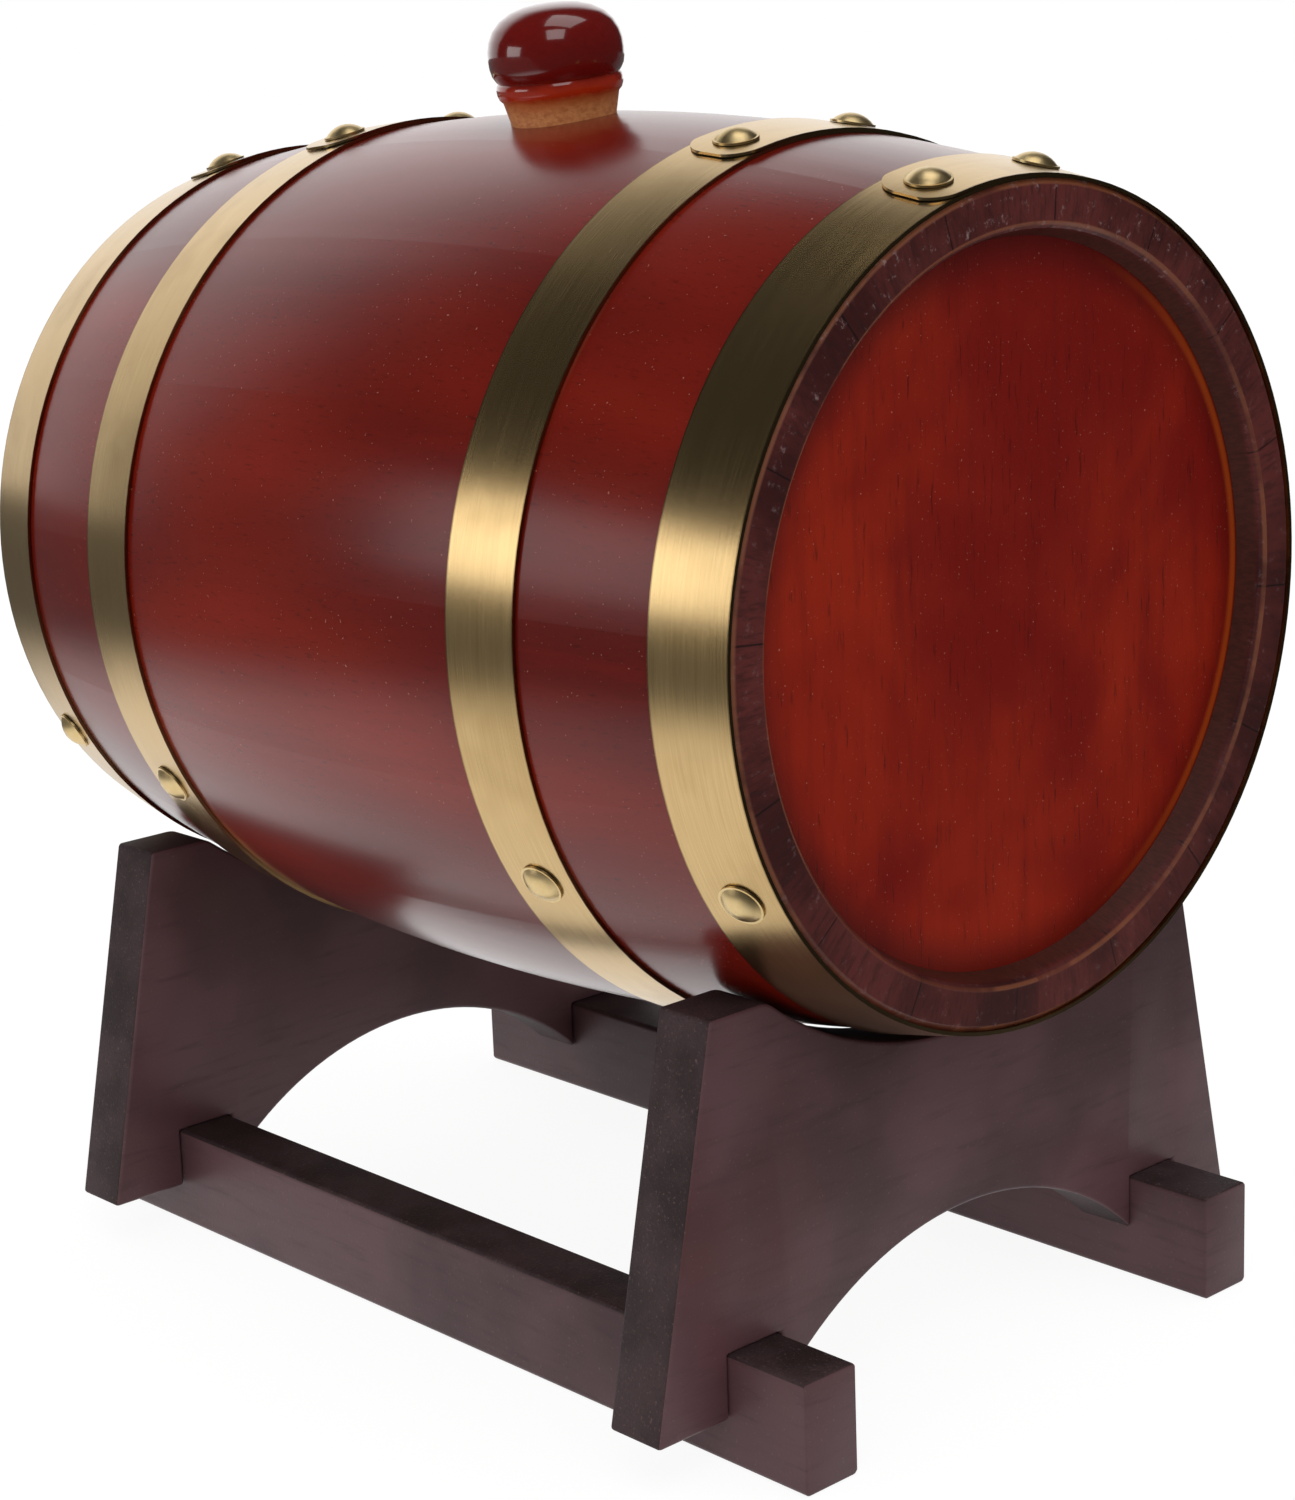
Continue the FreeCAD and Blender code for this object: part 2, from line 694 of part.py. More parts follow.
def add_key_handle(body, foot):
    sketch = new_sketch(body, "XZ_Plane", "Handle")
    half = size("key_paddle_width") / 2
    top = foot + size("key_paddle_height")
    neck = size("key_paddle_thickness") * 0.6
    waist = foot + size("key_paddle_height") * 0.3
    corners = (
        (-neck, foot - 1),
        (-neck, waist),
        (-half, top - half * 0.6),
        (half, top - half * 0.6),
        (neck, waist),
        (neck, foot - 1),
    )
    crown = half * 0.6
    arch = (half * half + crown * crown) / (2 * crown)
    outline(sketch, corners, {1: (half, 1), 2: (arch, 1), 3: (half, 1)})
    extrude(body, sketch, size("key_paddle_thickness"))
    face = number(size("key_paddle_thickness")) / 2

    def is_rim(edge):
        middle = edge.CenterOfMass
        return middle.z > number(waist) and abs(abs(middle.y) - face) < 0.1

    soften(body, size("key_paddle_round"), is_rim)


def soften(body, radius, chosen):
    """Rounds the chosen edges of a body's last feature."""
    doc.recompute()
    base = body.Tip
    names = ["Edge%d" % place for place, edge in enumerate(base.Shape.Edges, start=1) if chosen(edge)]
    rounding = body.newObject("PartDesign::Fillet", "Softened")
    rounding.Base = (base, names)
    rounding.Radius = number(radius)
    bind(rounding, "Radius", radius)
    return rounding


board_inner = size("board_place") - size("board_thickness") / 2
saddle_radius = stave_radius(board_inner) + size("saddle_clearance")
saddle_depth = size("shoulder_drop")
board_top = size("axis_height") - saddle_depth
saddle_half = root(saddle_radius * saddle_radius - saddle_depth * saddle_depth)
slot_inner = size("rail_place") - size("rail_width") / 2 - size("slot_clearance")
slot_outer = size("rail_place") + size("rail_width") / 2 + size("slot_clearance")
arch_centre = size("arch_top") - size("arch_radius")
arch_foot = arch_centre + root(size("arch_radius") * size("arch_radius") - slot_inner * slot_inner)


def make_board(label, side):
    """An end board: sloping sides, a saddle above, an arch below and a slot over each rail."""
    body = new_body(label)
    sketch = new_sketch(body, "XZ_Plane", "Outline")
    right = (
        (saddle_half, board_top),
        (size("board_top_half"), board_top),
        (size("board_bottom_half"), size("board_bottom")),
        (slot_outer, size("board_bottom")),
        (slot_outer, size("rail_height")),
        (slot_inner, size("rail_height")),
        (slot_inner, arch_foot),
    )
    left = tuple((-across, up) for across, up in reversed(right))
    under = len(right) - 1
    saddle = len(right) * 2 - 1
    outline(sketch, right + left, {under: (size("arch_radius"), -1), saddle: (saddle_radius, -1)})
    extrude(body, sketch, size("board_thickness"))
    shoulder = number(saddle_half)
    top = number(board_top)

    def is_shoulder(edge):
        middle = edge.CenterOfMass
        return abs(abs(middle.x) - shoulder) < 0.1 and abs(middle.z - top) < 0.1 and abs(middle.y) < 0.1

    soften(body, size("shoulder_round"), is_shoulder)
    body.Placement = Placement(Vector(0, number(cask_middle + side * size("board_place")), 0), Rotation())
    bind(body, "Placement.Base.y", cask_middle + side * size("board_place"))
    return body


def make_rail(label, side):
    """A straight rail with softened long edges, flat on the table."""
    body = new_body(label)
    sketch = new_sketch(body, "XZ_Plane", "Section")
    half = size("rail_width") / 2
    soft = size("edge_round")
    up = size("rail_height")
    corners = (
        (-half, soft),
        (-half, up - soft),
        (-(half - soft), up),
        (half - soft, up),
        (half, up - soft),
        (half, soft),
        (half - soft, 0),
        (-(half - soft), 0),
    )
    outline(sketch, corners)
    extrude(body, sketch, size("rail_length"))
    body.Placement = Placement(Vector(side * number(size("rail_place")), number(cask_middle), 0), Rotation())
    bind(body, "Placement.Base.x", side * size("rail_place"))
    bind(body, "Placement.Base.y", cask_middle)
    return body


def build():
    pieces = [make_stave(place) for place in range(STAVE_COUNT)]
    pieces.append(make_head("front_head", -1))
    pieces.append(make_head("rear_head", 1))
    places = (-size("end_hoop_place"), -size("belly_hoop_place"), size("belly_hoop_place"), size("end_hoop_place"))
    for label, place in zip(HOOP_NAMES, places):
        pieces.append(make_hoop(label, place))
        pieces.append(make_rivets(label.replace("hoop", "rivets"), place))
    pieces.append(make_bung())
    pieces.append(make_tap_body())
    pieces.append(make_tap_spout())
    pieces.append(make_tap_key())
    pieces.append(make_board("front_board", -1))
    pieces.append(make_board("rear_board", 1))
    pieces.append(make_rail("left_rail", -1))
    pieces.append(make_rail("right_rail", 1))
    return pieces


def check(pieces):
    """Stops before anything is written if a feature or a shape is broken."""
    for item in doc.Objects:
        if "Invalid" in item.State or "Error" in item.State:
            raise RuntimeError("%s is %s" % (item.Name, item.State))
    for piece in pieces:
        if piece.Shape.isNull() or not piece.Shape.isValid():
            raise RuntimeError("%s has no valid shape" % piece.Label)
        print(piece.Label, len(piece.Shape.Solids), "solid", round(piece.Shape.Volume), "mm3")


parts = build()
doc.recompute()
check(parts)
os.makedirs(OUT, exist_ok=True)
for part in parts:
    part.Shape.exportStep(os.path.join(OUT, part.Label + ".step"))
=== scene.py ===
# %% [markdown]
# # A small lacquered cask on its stand
#
# The staves, heads, hoops, bung, tap and stand come in at their real size as the fixed frame.
# This lesson gives each of them its finish, softens the corners of the stand, turns the bung, and
# sets up the studio and the camera. Every length is in metres, and `mm` turns millimetres into them.

import math

import bpy
from mathutils import Matrix, Vector


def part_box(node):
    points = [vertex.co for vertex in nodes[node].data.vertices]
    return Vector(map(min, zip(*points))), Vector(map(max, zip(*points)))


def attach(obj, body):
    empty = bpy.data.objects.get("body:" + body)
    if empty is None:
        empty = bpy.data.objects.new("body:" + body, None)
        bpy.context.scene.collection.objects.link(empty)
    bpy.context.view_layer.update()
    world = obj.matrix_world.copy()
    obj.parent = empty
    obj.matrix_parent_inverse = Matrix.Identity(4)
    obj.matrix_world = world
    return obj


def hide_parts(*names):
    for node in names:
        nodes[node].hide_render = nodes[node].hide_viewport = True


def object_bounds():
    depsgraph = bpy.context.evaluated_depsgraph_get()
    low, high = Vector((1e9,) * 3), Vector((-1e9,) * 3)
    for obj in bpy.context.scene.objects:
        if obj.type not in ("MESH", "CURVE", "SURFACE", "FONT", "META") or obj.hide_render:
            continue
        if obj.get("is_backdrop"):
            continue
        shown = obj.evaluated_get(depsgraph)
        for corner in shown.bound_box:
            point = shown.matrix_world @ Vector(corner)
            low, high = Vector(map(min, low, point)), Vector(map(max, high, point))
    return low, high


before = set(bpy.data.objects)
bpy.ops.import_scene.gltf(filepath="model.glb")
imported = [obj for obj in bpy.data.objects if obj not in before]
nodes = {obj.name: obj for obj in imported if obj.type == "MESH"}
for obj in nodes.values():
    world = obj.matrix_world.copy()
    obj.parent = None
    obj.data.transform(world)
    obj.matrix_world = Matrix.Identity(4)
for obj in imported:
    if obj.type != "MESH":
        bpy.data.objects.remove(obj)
cad_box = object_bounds()
scene = bpy.context.scene
scene.view_settings.view_transform = "Standard"
mm = 0.001
print("nodes:", len(nodes), "box:", [tuple(round(side, 4) for side in corner) for corner in cad_box])

# %% [markdown]
# The cask lies along Y. Most finishes need to know how far a point is from the cask's axis and how
# far round it. The axis could be typed in, but it is measured from the head and the end hoops, so
# it stays true when the cask changes.

# %% Measure the cask
stave_names = sorted(name for name in nodes if name.startswith("stave_"))
stave_count = len(stave_names)
rear_low, rear_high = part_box("rear_end_hoop")
front_low, front_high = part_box("front_end_hoop")
head_low, head_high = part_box("rear_head")
cask_middle_y = (rear_high[1] + front_low[1]) / 2
cask_half = rear_high[1] - cask_middle_y
head_face = head_high[1] - cask_middle_y
axis_height = (head_low[2] + head_high[2]) / 2
print("axis at z", round(axis_height, 4), "middle y", round(cask_middle_y, 4))
print("half length", round(cask_half, 4), "head face", round(head_face, 4))

# %% [markdown]
# A shader is easier to read as arithmetic than as a drawing of boxes and lines. `Wire` stands for
# one output of a node. Adding, multiplying or subtracting wires adds the Math node for it, and
# `ramp` turns a range of values into a soft mask from 0 to 1.


# %% Wires that do arithmetic
class Wire:
    """One output of a node, which can be used in expressions."""

    def __init__(self, sheet, node, result=0):
        self.sheet = sheet
        self.node = node
        self.result = result

    def output(self, result):
        """Another output of the same node."""
        return Wire(self.sheet, self.node, result)

    def math(self, operation, *others):
        return self.sheet.math(operation, self, *others)

    def __add__(self, other):
        return self.math("ADD", other)

    def __sub__(self, other):
        return self.math("SUBTRACT", other)

    def __mul__(self, other):
        return self.math("MULTIPLY", other)

    def __truediv__(self, other):
        return self.math("DIVIDE", other)

    def __radd__(self, other):
        return self.sheet.math("ADD", other, self)

    def __rsub__(self, other):
        return self.sheet.math("SUBTRACT", other, self)

    def __rmul__(self, other):
        return self.sheet.math("MULTIPLY", other, self)

    def __rtruediv__(self, other):
        return self.sheet.math("DIVIDE", other, self)

    def clipped(self):
        return self.math("MINIMUM", 1.0).math("MAXIMUM", 0.0)

    def ramp(self, low, high):
        """0 at low, 1 at high, and a smooth step between them."""
        settings = {"interpolation_type": "SMOOTHSTEP", "clamp": True}
        return self.sheet.node("ShaderNodeMapRange", settings, {0: self, 1: low, 2: high})


print("operators:", [name for name in vars(Wire) if name.startswith("__r")])

# %% [markdown]
# Every node comes from one method, `node`. It takes the node's type, its settings, and what goes
# into its sockets by name or number. Short methods stand on it for the nodes that come back often:
# a noise has a scale (how many of its spots fit in a metre), a detail, a roughness and a distortion.


# %% A sheet of nodes
def connect(tree, value, socket):
    """Link a wire to an input, or set a plain value on it."""
    if isinstance(value, Wire):
        tree.links.new(value.node.outputs[value.result], socket)
    else:
        socket.default_value = value


class Sheet:
    """A node tree that a shader is written on."""

    def __init__(self, tree):
        self.tree = tree
        tree.nodes.clear()

    def node(self, kind, settings, sockets, result=0):
        made = self.tree.nodes.new(kind)
        for setting, choice in settings.items():
            setattr(made, setting, choice)
        for key, value in sockets.items():
            connect(self.tree, value, made.inputs[key])
        return Wire(self, made, result)

    def math(self, operation, *values):
        return self.node("ShaderNodeMath", {"operation": operation}, dict(enumerate(values)))

    def split(self, vector):
        parts = self.node("ShaderNodeSeparateXYZ", {}, {0: vector})
        return [parts.output(side) for side in "XYZ"]

    def join(self, x, y, z):
        return self.node("ShaderNodeCombineXYZ", {}, {"X": x, "Y": y, "Z": z})

    def noise(self, where, scale, detail=3.0, roughness=0.5, distortion=0.0):
        sockets = {"Vector": where, "Scale": scale, "Detail": detail,
                   "Roughness": roughness, "Distortion": distortion}
        return self.node("ShaderNodeTexNoise", {}, sockets, "Fac")

    def mix(self, amount, first, second):
        """A colour between two colours."""
        settings = {"data_type": "RGBA", "clamp_factor": True}
        return self.node("ShaderNodeMix", settings, {0: amount, 6: first, 7: second}, 2)

    def bump(self, height, strength, distance):
        sockets = {"Strength": strength, "Distance": distance, "Height": height}
        return self.node("ShaderNodeBump", {}, sockets, "Normal")


print("sheet methods:", [name for name in vars(Sheet) if not name.startswith("_")])

# %% [markdown]
# A finish is a sheet with one Principled shader on it. `place` gives the point on the surface in
# the object's own coordinates, so a pattern moves with its piece. Colours are written as they look
# on a screen, and `tone` turns them into the light values that a shader needs.


# %% Finishes and colours
class Finish(Sheet):
    """A new material with a Principled shader."""

    def __init__(self, name):
        self.material = bpy.data.materials.new(name)
        self.material.use_nodes = True
        super().__init__(self.material.node_tree)
        self.shader = self.node("ShaderNodeBsdfPrincipled", {}, {})
        self.surface = self.node("ShaderNodeOutputMaterial", {}, {"Surface": self.shader})

    def place(self):
        return self.split(self.node("ShaderNodeTexCoord", {}, {}, "Object"))

    def feed(self, **sockets):
        for name, value in sockets.items():
            connect(self.tree, value, self.shader.node.inputs[name.replace("_", " ")])


def tone(red, green, blue):
    """A screen colour, 0 to 255, as light values."""
    steps = [side / 255 for side in (red, green, blue)]
    light = [side / 12.92 if side <= 0.04045 else ((side + 0.055) / 1.055) ** 2.4 for side in steps]
    return (*light, 1.0)


print("a screen red of 120, 28, 14 is", [round(side, 3) for side in tone(120, 28, 14)[:3]])

# %% [markdown]
# The cask has coordinates of its own: how far along its axis, how far round it, and how far out.
# Wood grain follows the staves and brush lines follow the hoops, so their patterns are drawn on
# these and not on X, Y and Z.


# %% Cask coordinates
def round_the_cask(finish):
    """Along the axis, the angle round it, and the radius of a point."""
    x, y, z = finish.place()
    up = z - axis_height
    along = y - cask_middle_y
    angle = x.math("ARCTAN2", up)
    radius = (x * x + up * up).math("SQRT")
    return along, angle, radius


print("one stave spans", round(360 / stave_count, 2), "degrees")

# %% [markdown]
# Past the head the staves end in the chime, which is end grain. End grain drinks the stain and
# looks dark and purplish, its rings run across it, and a fine line shows where two staves meet.
# Its corners are rubbed back to a thin tan line, and its inner wall is the lining of the recess.

# %% Chime colour
grain_radius = 94 * mm
chime_inner = 76.8 * mm
chime_outer = 86.5 * mm
cask_roll = math.radians(6.3)
end_grain = tone(90, 33, 29)
pooled_stain = tone(60, 16, 14)
ring_line = tone(44, 16, 16)
joint_line = tone(24, 10, 10)
rubbed_tan = tone(132, 76, 46)
scuff_and_sheen_grey = tone(140, 118, 118)
recess_brown = tone(74, 30, 18)
recess_dark = tone(42, 15, 11)


def chime_colour(finish, along, angle, radius):
    girth = angle * grain_radius
    from_middle = along.math("ABSOLUTE")
    rings = finish.noise(finish.join(girth * 2.4, radius * 0.5, along), 420.0, 4.0, 0.65)
    pool = finish.noise(finish.join(girth, radius, along), 30.0, 3.0, 0.55)
    colour = finish.mix(pool.ramp(0.34, 0.66), end_grain, pooled_stain)
    colour = finish.mix(rings.ramp(0.42, 0.70) * 0.55, colour, ring_line)
    staves_round = (angle - cask_roll) * (stave_count / math.tau) + 0.5
    joint = (staves_round - staves_round.math("FLOOR") - 0.5).math("ABSOLUTE").ramp(0.49, 0.498)
    colour = finish.mix(joint * 0.8, colour, joint_line)
    inner_corner = (radius - (chime_inner + 1.0 * mm)).math("ABSOLUTE").ramp(0.6 * mm, 0.2 * mm)
    outer_corner = radius.ramp(chime_outer - 1.4 * mm, chime_outer - 0.8 * mm)
    worn = finish.noise(finish.join(girth, along, radius), 34.0, 4.0, 0.65).ramp(0.44, 0.56)
    at_end = from_middle.ramp(cask_half - 1.8 * mm, cask_half - 0.8 * mm)
    rubbed = (inner_corner * (0.3 + worn * 0.5) + outer_corner * (0.35 + worn * 0.65)).clipped()
    colour = finish.mix(rubbed * at_end * 0.75, colour, rubbed_tan)
    # Grey scuff marks are real wear, and they grow stronger toward the top as a painted sheen.
    scuff = finish.noise(finish.join(girth, along, radius), 320.0, 5.0, 0.75).ramp(0.56, 0.72)
    painted_sheen_on_top = angle.math("COSINE").ramp(0.2, 0.9)
    colour = finish.mix(scuff * (0.25 + painted_sheen_on_top * 0.5), colour, scuff_and_sheen_grey)
    inside = from_middle.ramp(cask_half - 1.4 * mm, cask_half - 2.2 * mm)
    wall = inside * radius.ramp(chime_inner + 0.8 * mm, chime_inner)
    lining = finish.mix(rings.ramp(0.36, 0.66) * 0.5, recess_brown, recess_dark)
    return finish.mix(wall * 0.9, colour, lining)


print("chime from", chime_inner, "to", chime_outer)

# %% [markdown]
# The staves wear red-brown lacquer over close-grained wood. The stain lies a little unevenly,
# darker in soft patches, and fine open pores and specks of dust run along the staves. Noise that is
# stretched along the axis gives the grain, and a thin coat over it gives the lacquer's soft shine.

# %% Stave finish
stain_light = tone(122, 24, 5)
stain_mid = tone(100, 14, 4)
stain_dark = tone(82, 10, 5)


def stave_finish():
    finish = Finish("red_lacquered_staves")
    along, angle, radius = round_the_cask(finish)
    girth = angle * grain_radius
    patch = finish.noise(finish.join(girth, along * 0.35, radius), 19.0, 2.0, 0.5)
    broad = finish.noise(finish.join(girth, along * 0.6, radius), 9.0, 2.0, 0.5)
    streak = finish.noise(finish.join(girth, along * 0.07, radius * 0.4), 210.0, 4.0, 0.62, 0.25)
    pore = finish.noise(finish.join(girth, along * 0.16, radius * 0.3), 1700.0, 4.0, 0.75)
    dust = finish.noise(finish.join(girth, along, radius), 1500.0, 1.0, 0.5).ramp(0.73, 0.80)
    colour = finish.mix(patch.ramp(0.30, 0.70), stain_dark, stain_light)
    colour = finish.mix(broad.ramp(0.45, 0.70) * 0.5, colour, stain_dark)
    colour = finish.mix(streak.ramp(0.42, 0.78) * 0.55, colour, stain_mid)
    colour = finish.mix(pore.ramp(0.55, 0.72) * 0.55, colour, tone(48, 7, 3))
    colour = finish.mix(dust * 0.45, colour, tone(176, 120, 104))
    past_head = along.math("ABSOLUTE").ramp(head_face - 0.6 * mm, head_face)
    colour = finish.mix(past_head, colour, chime_colour(finish, along, angle, radius))
    relief = finish.bump(streak * 0.3 + dust * 0.4, 0.2, 0.4 * mm)
    finish.feed(Base_Color=colour, Roughness=0.22 + patch * 0.08 + past_head * 0.26, Normal=relief)
    finish.feed(Specular_IOR_Level=0.25, Coat_Weight=0.5, Coat_IOR=1.3, Coat_Roughness=0.2)
    return finish.material


staves_material = stave_finish()
print("staves:", staves_material.name, len(staves_material.node_tree.nodes), "nodes")

# %% [markdown]
# The heads are flat panels with straight upright grain, a little brighter and more orange than the
# staves, and mottled where the stain was wiped. Round the rim, under the recess, painted shade
# darkens them, and a thin painted orange highlight runs along the rim on the far side. Flat wood
# needs no cask coordinates for its grain, only the radius for its rim.

# %% Head finish
head_radius = 75.2 * mm


def head_finish():
    finish = Finish("red_lacquered_heads")
    x, y, z = finish.place()
    along, angle, radius = round_the_cask(finish)
    cloud = finish.noise(finish.join(x, y, z), 17.0, 3.0, 0.55, 0.3)
    figure = finish.noise(finish.join(x, y, z * 0.10), 190.0, 4.0, 0.6, 0.4)
    pore = finish.noise(finish.join(x, y, z * 0.12), 900.0, 3.0, 0.7).ramp(0.58, 0.72)
    dust = finish.noise(finish.join(x, y, z), 1500.0, 1.0, 0.5).ramp(0.70, 0.78)
    colour = finish.mix(cloud.ramp(0.36, 0.64), tone(108, 11, 3), tone(136, 27, 1))
    colour = finish.mix(figure.ramp(0.45, 0.8) * 0.45, colour, tone(92, 12, 7))
    colour = finish.mix(pore * 0.5, colour, tone(44, 7, 5))
    colour = finish.mix(dust * 0.45, colour, tone(190, 128, 108))
    # Painted shade: the head darkens toward its rim, under the overhang of the chime.
    painted_rim_shade = radius.ramp(head_radius - 10.0 * mm, head_radius)
    colour = finish.mix(painted_rim_shade * 0.6, colour, tone(70, 12, 10))
    # Painted highlight: a thin orange line of light just inside the rim, on the far side only.
    inner_fade = radius.ramp(head_radius - 3.0 * mm, head_radius - 1.4 * mm)
    glow = inner_fade * radius.ramp(head_radius, head_radius - 0.8 * mm)
    far_side = (x * -1.0).ramp(20 * mm, 70 * mm)
    colour = finish.mix(glow * far_side * 0.35, colour, tone(190, 84, 20))
    relief = finish.bump(figure * 0.3 - pore * 0.6 + dust * 0.5, 0.2, 0.4 * mm)
    finish.feed(Base_Color=colour, Roughness=0.33 + cloud * 0.10, Normal=relief)
    finish.feed(Specular_IOR_Level=0.12, Coat_Weight=0.2, Coat_IOR=1.2, Coat_Roughness=0.25)
    return finish.material


heads_material = head_finish()
print("heads:", heads_material.name)

# %% [markdown]
# The hoops are antiqued brass strip, brushed along its length. The brush lines run round the cask,
# so the pattern varies quickly across the strip and slowly round it. A dark line of painted shade
# runs along both edges of each strip, where it meets the wood, so the finish needs the place of
# each strip, which is measured from the hoops.

# %% Hoop finish
strip_bands = []
for low, high in (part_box("rear_belly_hoop"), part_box("rear_end_hoop")):
    strip_bands.append((low[1] - cask_middle_y, high[1] - cask_middle_y))
print("strips from the middle:", [(round(near, 4), round(far, 4)) for near, far in strip_bands])


def painted_edge_shade(from_middle):
    """1 at both edges of each strip, where the painted shade goes."""
    cuts = []
    for near, far in strip_bands:
        half = (far - near) / 2
        band = (from_middle - (near + far) / 2).math("ABSOLUTE")
        beside = band.ramp(half + 4.0 * mm, half + 3.0 * mm)
        cuts.append(band.ramp(half - 0.4 * mm, half - 0.1 * mm) * beside)
    return sum(cuts)


def hoop_finish():
    finish = Finish("brushed_brass_hoops")
    along, angle, radius = round_the_cask(finish)
    from_middle = along.math("ABSOLUTE")
    brush = finish.noise(finish.join(from_middle, angle * 0.0016, 0.0), 2600.0, 3.0, 0.7)
    broad = finish.noise(finish.join(from_middle, angle * 0.004, 0.0), 420.0, 2.0, 0.5)
    tarnish = finish.noise(finish.join(angle * 0.09, along, radius), 34.0, 3.0, 0.6)
    colour = finish.mix(brush, tone(186, 155, 104), tone(222, 192, 141))
    colour = finish.mix(tarnish.ramp(0.45, 0.75) * 0.30, colour, tone(152, 120, 70))
    # Painted shade: a dark line along both edges of each strip.
    colour = finish.mix(painted_edge_shade(from_middle) * 0.6, colour, tone(84, 60, 36))
    dullness = 0.17 + brush * 0.08 + broad * 0.04 + tarnish.ramp(0.45, 0.8) * 0.05
    relief = finish.bump(brush + broad * 0.5, 0.06, 0.2 * mm)
    finish.feed(Base_Color=colour, Metallic=1.0, Roughness=dullness, Normal=relief)
    return finish.material


hoops_material = hoop_finish()
print("hoops:", hoops_material.name)

# %% [markdown]
# The rivet heads are pressed from brighter brass. They are small and round, so one even noise is
# enough for the wear of their polish.


# %% Rivet finish
def rivet_finish():
    finish = Finish("polished_brass_rivets")
    x, y, z = finish.place()
    wear = finish.noise(finish.join(x, y, z), 420.0, 3.0, 0.6)
    colour = finish.mix(wear, tone(206, 176, 118), tone(238, 214, 164))
    relief = finish.bump(wear, 0.08, 0.2 * mm)
    finish.feed(Base_Color=colour, Metallic=1.0, Roughness=0.26 + wear * 0.18, Normal=relief)
    return finish.material


rivets_material = rivet_finish()
print("rivets:", rivets_material.name)

# %% [markdown]
# The bung was dipped in dark cherry gloss as far as its collar. Below it the lacquer thins through
# orange-red to bare turned wood. The colour therefore depends on the height along the bung's own
# axis, which leans with the roll of the cask. A little noise on that height makes the edge ragged.

# %% Bung finish
belly_radius = 99.4 * mm
bung_axis = Vector((math.sin(cask_roll), 0.0, math.cos(cask_roll)))
gloss_from = 4.2 * mm
gloss_full = 6.4 * mm
cherry_full = 9.8 * mm


def bung_finish():
    finish = Finish("cherry_gloss_bung")
    x, y, z = finish.place()
    height = x * bung_axis.x + (z - axis_height) * bung_axis.z - belly_radius
    ragged = finish.noise(finish.join(x, y, z), 190.0, 3.0, 0.6) * (2.2 * mm)
    level = height + ragged - 1.1 * mm
    rings = finish.noise(finish.join(x, y, z * 1.6), 700.0, 3.0, 0.7)
    bare = finish.mix(rings.ramp(0.3, 0.75), tone(204, 134, 80), tone(170, 98, 52))
    bare = finish.mix(level.ramp(1.6 * mm, 5.4 * mm), bare, tone(176, 84, 34))
    cherry = finish.mix(rings.ramp(0.4, 0.8) * 0.4, tone(94, 12, 8), tone(70, 8, 8))
    thinned = finish.mix(level.ramp(gloss_full, cherry_full), tone(152, 36, 9), cherry)
    colour = finish.mix(level.ramp(gloss_from, 6.0 * mm), bare, thinned)
    lacquered = level.ramp(gloss_from, gloss_full)
    relief = finish.bump(rings * (1.0 - lacquered), 0.25, 0.4 * mm)
    finish.feed(Base_Color=colour, Roughness=0.55 - lacquered * 0.40, Normal=relief)
    finish.feed(Coat_Weight=lacquered * 0.8, Coat_Roughness=0.05)
    return finish.material


bung_material = bung_finish()
print("bung:", bung_material.name, "leans", round(math.degrees(cask_roll), 1), "degrees")

# %% [markdown]
# The tap is turned from the same wood and has the same cherry gloss all over. Its grain runs along
# the spigot, which points along Y, so the noise is stretched that way.


# %% Tap finish
def tap_finish():
    finish = Finish("cherry_gloss_tap")
    x, y, z = finish.place()
    grain = finish.noise(finish.join(x, y * 0.12, z), 420.0, 4.0, 0.6, 0.3)
    cloud = finish.noise(finish.join(x, y, z), 60.0, 2.0, 0.5)
    colour = finish.mix(cloud.ramp(0.35, 0.65), tone(84, 13, 9), tone(112, 22, 10))
    colour = finish.mix(grain.ramp(0.5, 0.8) * 0.5, colour, tone(58, 9, 8))
    relief = finish.bump(grain, 0.12, 0.3 * mm)
    finish.feed(Base_Color=colour, Roughness=0.17 + grain * 0.12, Normal=relief)
    finish.feed(Coat_Weight=0.6, Coat_Roughness=0.08)
    return finish.material


tap_material = tap_finish()
print("tap:", tap_material.name)

# %% [markdown]
# The stand is stained espresso, nearly black-brown, with a satin coat. Its faces look greyer where
# they catch the studio, and they are rubbed to a reddish brown here and there. Boards and rails
# share one function, and `lift` makes the red of one a little stronger than that of the other.


# %% Stand finish
def stand_finish(name, lift):
    finish = Finish(name)
    x, y, z = finish.place()
    fibre = finish.noise(finish.join(x * 0.12, y * 0.12, z), 460.0, 4.0, 0.65, 0.2)
    cloud = finish.noise(finish.join(x, y, z), 22.0, 3.0, 0.5)
    pore = finish.noise(finish.join(x, y, z), 1300.0, 2.0, 0.6)
    rub = finish.noise(finish.join(x + 0.4, y, z), 13.0, 3.0, 0.55)
    colour = finish.mix(cloud.ramp(0.35, 0.65), tone(70 + lift, 45, 48), tone(90 + lift, 61, 65))
    colour = finish.mix(fibre.ramp(0.5, 0.85) * 0.5, colour, tone(50 + lift, 32, 35))
    colour = finish.mix(rub.ramp(0.50, 0.70) * 0.55, colour, tone(84 + lift, 44, 42))
    colour = finish.mix(pore.ramp(0.64, 0.76) * 0.35, colour, tone(128, 104, 100))
    relief = finish.bump(fibre * 0.4 + pore * 0.6, 0.16, 0.4 * mm)
    finish.feed(Base_Color=colour, Roughness=0.38 + fibre * 0.16, Normal=relief)
    finish.feed(Specular_IOR_Level=0.3)
    return finish.material


boards_material = stand_finish("espresso_boards", 0)
rails_material = stand_finish("espresso_rails", -2)
print("stand:", boards_material.name, rails_material.name)

# %% [markdown]
# Where the saw cut across the fibres, the wood stays open and rough. It drinks more stain, so it is
# darker than the faces, and its pores hold pale dust and black dots.


